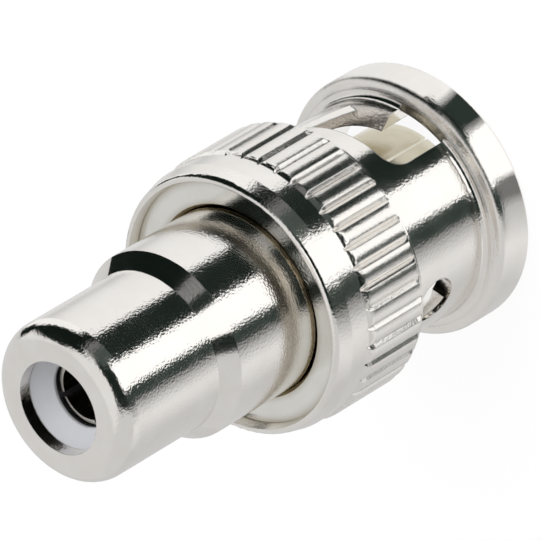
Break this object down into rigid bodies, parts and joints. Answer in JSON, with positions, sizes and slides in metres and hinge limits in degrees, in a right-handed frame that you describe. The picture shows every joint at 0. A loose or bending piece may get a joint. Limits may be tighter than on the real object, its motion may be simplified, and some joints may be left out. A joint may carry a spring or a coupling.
{
  "type": "bnc to rca adapter",
  "caption": "Straight coaxial adapter: bayonet plug with a knurled, spring-loaded coupling nut at one end and a phono jack with a slotted centre socket at the other.",
  "frame": {"origin": "centre of the coupling nut's front face, on which the adapter stands", "axes": "+Z along the connector axis, from the bayonet mouth up to the phono jack's face"},
  "size_m": [0.0142, 0.0142, 0.0268],
  "materials": {
    "body_plating": "bright nickel plate",
    "nut_plating": "bright nickel plate",
    "contact_plating": "nickel plate over brass",
    "white_plastic": "smooth moulded",
    "seal_rubber": "matt",
    "spring_metal": "plain spring steel"
  },
  "bodies": {
    "body": {"rca_shell": "body_plating", "rca_insulator": "white_plastic", "center_contact": "contact_plating", "bnc_insulator": "white_plastic", "bnc_sleeve": "contact_plating", "gasket": "seal_rubber", "front_wave_washer": "spring_metal", "rear_wave_washer": "spring_metal"},
    "retainer": {"retainer_washer": "nut_plating"},
    "nut": {"coupling_nut": "nut_plating"}
  },
  "joints": [
    {"name": "nut_float", "type": "slide", "parent": "body", "child": "retainer", "axis": [0, 0, -1], "range_m": [0, 0.0006], "stiffness_N_per_m": 12000, "springref_m": -0.0002, "deforming": ["front_wave_washer", "rear_wave_washer"]},
    {"name": "nut_spin", "type": "hinge", "parent": "retainer", "child": "nut", "pos_m": [0, 0, 0.0136], "axis": [0, 0, 1], "continuous": true}
  ]
}
